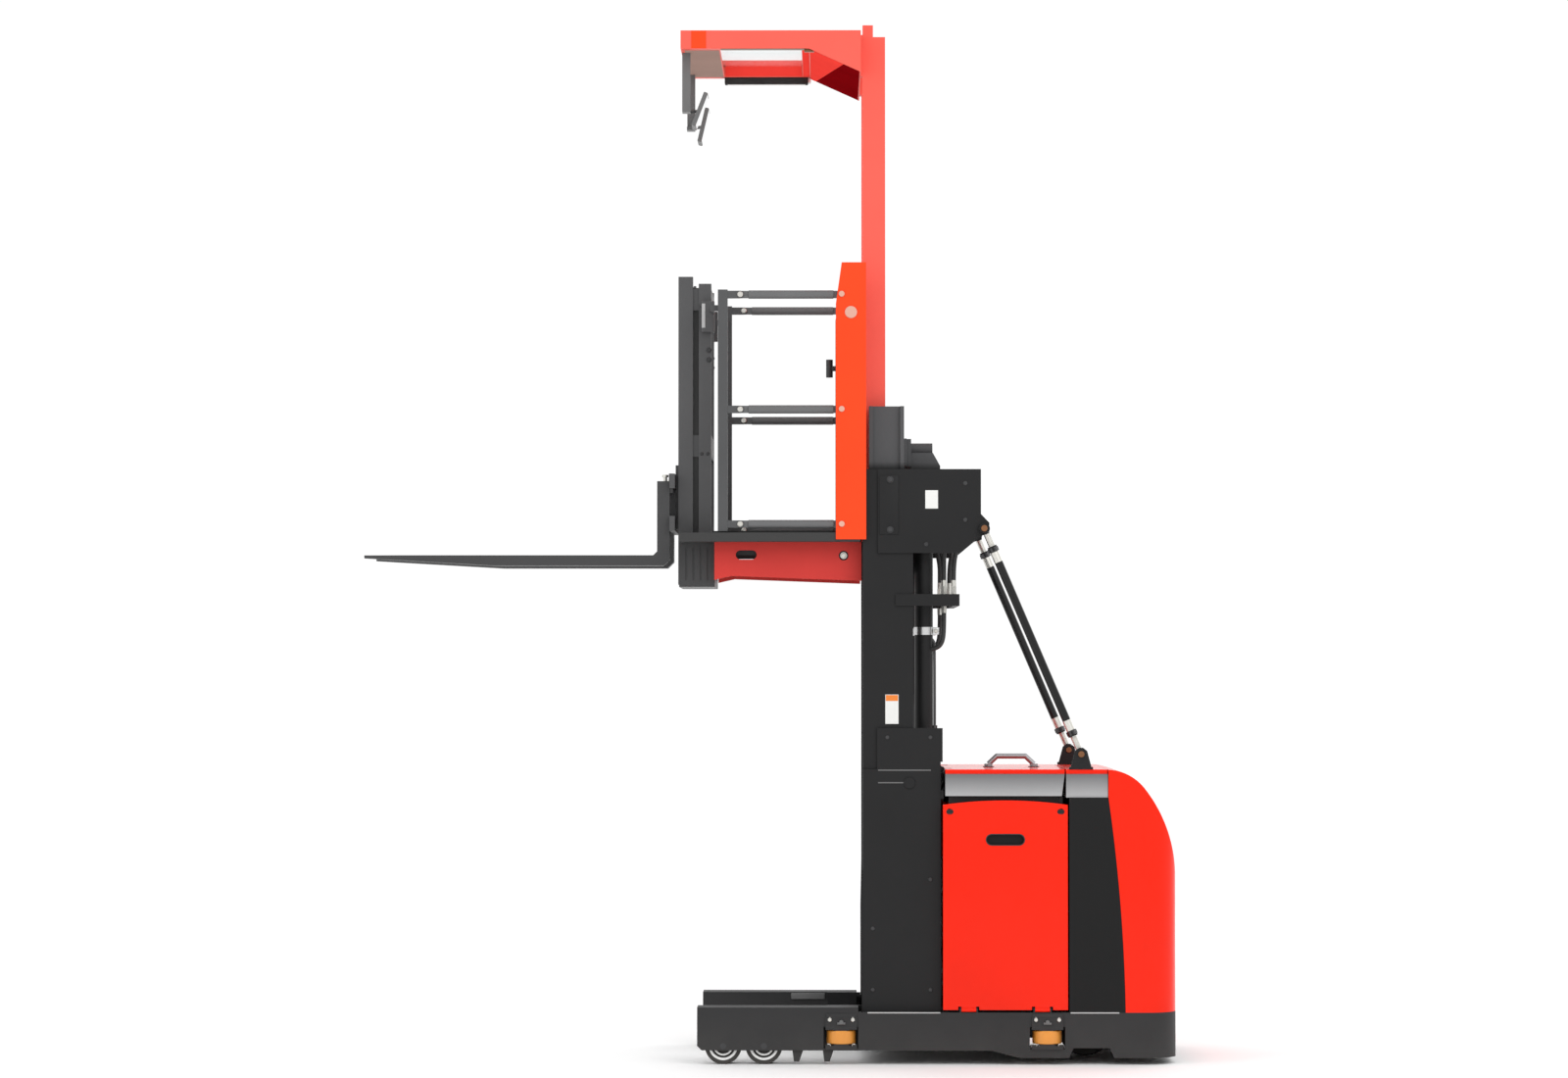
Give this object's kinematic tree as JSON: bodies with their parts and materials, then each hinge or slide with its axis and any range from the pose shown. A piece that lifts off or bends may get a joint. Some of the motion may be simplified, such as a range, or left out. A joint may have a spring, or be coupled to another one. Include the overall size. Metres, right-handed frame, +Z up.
{
  "type": "order picker",
  "caption": "High-lift order picker with rider platform, side gates, overhead guard and auxiliary fork mast on a two-stage mast, straddle legs and a rear battery and drive housing.",
  "frame": {"origin": "on the floor below the middle of the overall box", "axes": "+X forward (towards the fork tips), +Y to the left of the truck, +Z up"},
  "size_m": [3.34, 1.024, 4.269],
  "materials": {
    "aux_grey": "satin",
    "band_grey": "satin",
    "battery_grey": "matte",
    "brace_black": "semi-gloss",
    "bracket_grey": "satin",
    "bright_steel": "brushed",
    "chassis_black": "satin",
    "chrome_rod": "polished",
    "clear_pane": "clear",
    "console_black": "matte",
    "cover_black": "satin",
    "cover_red": "semi-gloss",
    "drive_grey": "cast",
    "fork_black": "satin",
    "gate_grey": "satin",
    "guard_red": "semi-gloss",
    "lamp_black": "matte",
    "mast_black": "satin",
    "roller_orange": "satin",
    "tyre_poly": "satin",
    "zinc_plate": "satin"
  },
  "bodies": {
    "chassis": {"base_frame": "chassis_black", "straddle_leg_left": "chassis_black", "straddle_leg_right": "chassis_black", "load_wheel_axles": "bright_steel", "guide_roller_brackets": "zinc_plate", "battery_block": "battery_grey", "rear_pillars": "cover_black", "rear_cover": "cover_red", "rear_deck": "band_grey", "mast_foot": "mast_black", "outer_mast": "mast_black", "mast_head": "mast_black", "lift_barrels": "mast_black", "mast_braces": "brace_black", "brace_fittings": "mast_black"},
    "hood": {"hood_lid": "band_grey", "hood_panel": "cover_red", "hood_handle": "bright_steel"},
    "door_left": {"battery_door_left": "cover_red"},
    "door_right": {"battery_door_right": "cover_red"},
    "moving_mast": {"inner_mast": "mast_black", "lift_rods": "chrome_rod", "free_lift_barrel": "mast_black"},
    "free_ram": {"free_lift_ram": "chrome_rod", "chain_yoke": "mast_black"},
    "platform": {"carriage": "mast_black", "guard_posts": "guard_red", "overhead_guard": "guard_red", "roof_pane": "clear_pane", "guard_lamp": "lamp_black", "mirrors": "bracket_grey", "platform_floor": "mast_black", "under_frame": "guard_red", "side_panels": "guard_red", "console": "console_black", "aux_mast": "aux_grey", "aux_lower_box": "mast_black"},
    "fork_ram": {"aux_ram": "chrome_rod"},
    "fork_frame": {"fork_carriage": "aux_grey", "forks": "fork_black"},
    "steered_drive": {"drive_unit": "drive_grey"},
    "driven_wheel": {"drive_wheel": "tyre_poly"},
    "load_wheel_left_rear": {"load_wheel_left_rear": "tyre_poly"},
    "guide_roller_left_rear": {"guide_roller_left_rear": "roller_orange"},
    "load_wheel_left_front": {"load_wheel_left_front": "tyre_poly"},
    "guide_roller_left_front": {"guide_roller_left_front": "roller_orange"},
    "gate_bottom_left": {"gate_bottom_bar_left": "gate_grey"},
    "gate_middle_left": {"gate_middle_bar_left": "gate_grey"},
    "gate_top_left": {"gate_top_bar_left": "gate_grey"},
    "gate_post_left": {"gate_post_left": "gate_grey"},
    "load_wheel_right_rear": {"load_wheel_right_rear": "tyre_poly"},
    "guide_roller_right_rear": {"guide_roller_right_rear": "roller_orange"},
    "load_wheel_right_front": {"load_wheel_right_front": "tyre_poly"},
    "guide_roller_right_front": {"guide_roller_right_front": "roller_orange"},
    "gate_bottom_right": {"gate_bottom_bar_right": "gate_grey"},
    "gate_middle_right": {"gate_middle_bar_right": "gate_grey"},
    "gate_top_right": {"gate_top_bar_right": "gate_grey"},
    "gate_post_right": {"gate_post_right": "gate_grey"}
  },
  "joints": [
    {"name": "mast_lift", "type": "slide", "parent": "chassis", "child": "moving_mast", "axis": [0, 0, 1], "range_m": [-0.26, 1.45]},
    {"name": "platform_lift", "type": "slide", "parent": "moving_mast", "child": "platform", "axis": [0, 0, 1], "range_m": [-1.62, 0]},
    {"name": "free_lift_ram_slide", "type": "slide", "parent": "moving_mast", "child": "free_ram", "axis": [0, 0, 1], "range_m": [-0.81, 0]},
    {"name": "fork_lift", "type": "slide", "parent": "platform", "child": "fork_frame", "axis": [0, 0, 1], "range_m": [-0.09, 0.7]},
    {"name": "fork_ram_slide", "type": "slide", "parent": "platform", "child": "fork_ram", "axis": [0, 0, 1], "range_m": [-0.045, 0.35]},
    {"name": "hood_hinge", "type": "hinge", "parent": "chassis", "child": "hood", "pos_m": [-0.718, 0, 1.2], "axis": [0, 1, 0], "range_deg": [0, 75]},
    {"name": "door_left_hinge", "type": "hinge", "parent": "chassis", "child": "door_left", "pos_m": [-0.97, 0.495, 0.222], "axis": [-1, 0, 0], "range_deg": [0, 90]},
    {"name": "door_right_hinge", "type": "hinge", "parent": "chassis", "child": "door_right", "pos_m": [-0.97, -0.495, 0.222], "axis": [1, 0, 0], "range_deg": [0, 90]},
    {"name": "steering", "type": "hinge", "parent": "chassis", "child": "steered_drive", "pos_m": [-1.32, 0, 0.25], "axis": [0, 0, 1], "range_deg": [-90, 90]},
    {"name": "drive_wheel_spin", "type": "hinge", "parent": "steered_drive", "child": "driven_wheel", "pos_m": [-1.32, 0, 0.115], "axis": [0, 1, 0], "continuous": true},
    {"name": "load_wheel_left_rear_spin", "type": "hinge", "parent": "chassis", "child": "load_wheel_left_rear", "pos_m": [0.014, 0.435, 0.075], "axis": [0, 1, 0], "continuous": true},
    {"name": "guide_roller_left_rear_spin", "type": "hinge", "parent": "chassis", "child": "guide_roller_left_rear", "pos_m": [-1.14, 0.452, 0.084], "axis": [0, 0, 1], "continuous": true},
    {"name": "load_wheel_left_front_spin", "type": "hinge", "parent": "chassis", "child": "load_wheel_left_front", "pos_m": [0.18, 0.435, 0.075], "axis": [0, 1, 0], "continuous": true},
    {"name": "guide_roller_left_front_spin", "type": "hinge", "parent": "chassis", "child": "guide_roller_left_front", "pos_m": [-0.301, 0.452, 0.084], "axis": [0, 0, 1], "continuous": true},
    {"name": "gate_left_top", "type": "hinge", "parent": "platform", "child": "gate_top_left", "pos_m": [-0.304, 0.426, 3.146], "axis": [0, -1, 0], "range_deg": [0, 80]},
    {"name": "gate_left_middle", "type": "hinge", "parent": "platform", "child": "gate_middle_left", "pos_m": [-0.304, 0.426, 2.674], "axis": [0, -1, 0], "range_deg": [0, 80]},
    {"name": "gate_left_bottom", "type": "hinge", "parent": "platform", "child": "gate_bottom_left", "pos_m": [-0.304, 0.426, 2.203], "axis": [0, -1, 0], "range_deg": [0, 80]},
    {"name": "gate_left_upright", "type": "hinge", "parent": "gate_top_left", "child": "gate_post_left", "pos_m": [0.112, 0.426, 3.146], "axis": [0, -1, 0], "range_deg": [-80, 0]},
    {"name": "load_wheel_right_rear_spin", "type": "hinge", "parent": "chassis", "child": "load_wheel_right_rear", "pos_m": [0.014, -0.435, 0.075], "axis": [0, 1, 0], "continuous": true},
    {"name": "guide_roller_right_rear_spin", "type": "hinge", "parent": "chassis", "child": "guide_roller_right_rear", "pos_m": [-1.14, -0.452, 0.084], "axis": [0, 0, 1], "continuous": true},
    {"name": "load_wheel_right_front_spin", "type": "hinge", "parent": "chassis", "child": "load_wheel_right_front", "pos_m": [0.18, -0.435, 0.075], "axis": [0, 1, 0], "continuous": true},
    {"name": "guide_roller_right_front_spin", "type": "hinge", "parent": "chassis", "child": "guide_roller_right_front", "pos_m": [-0.301, -0.452, 0.084], "axis": [0, 0, 1], "continuous": true},
    {"name": "gate_right_top", "type": "hinge", "parent": "platform", "child": "gate_top_right", "pos_m": [-0.304, -0.426, 3.146], "axis": [0, -1, 0], "range_deg": [0, 80]},
    {"name": "gate_right_middle", "type": "hinge", "parent": "platform", "child": "gate_middle_right", "pos_m": [-0.304, -0.426, 2.674], "axis": [0, -1, 0], "range_deg": [0, 80]},
    {"name": "gate_right_bottom", "type": "hinge", "parent": "platform", "child": "gate_bottom_right", "pos_m": [-0.304, -0.426, 2.203], "axis": [0, -1, 0], "range_deg": [0, 80]},
    {"name": "gate_right_upright", "type": "hinge", "parent": "gate_top_right", "child": "gate_post_right", "pos_m": [0.112, -0.426, 3.146], "axis": [0, -1, 0], "range_deg": [-80, 0]}
  ],
  "couplings": [
    {"joint": "free_lift_ram_slide", "follows": "platform_lift", "ratio": 0.5},
    {"joint": "fork_ram_slide", "follows": "fork_lift", "ratio": 0.5},
    {"joint": "gate_left_middle", "follows": "gate_left_top", "ratio": 1},
    {"joint": "gate_left_bottom", "follows": "gate_left_top", "ratio": 1},
    {"joint": "gate_left_upright", "follows": "gate_left_top", "ratio": -1},
    {"joint": "gate_right_middle", "follows": "gate_right_top", "ratio": 1},
    {"joint": "gate_right_bottom", "follows": "gate_right_top", "ratio": 1},
    {"joint": "gate_right_upright", "follows": "gate_right_top", "ratio": -1}
  ]
}
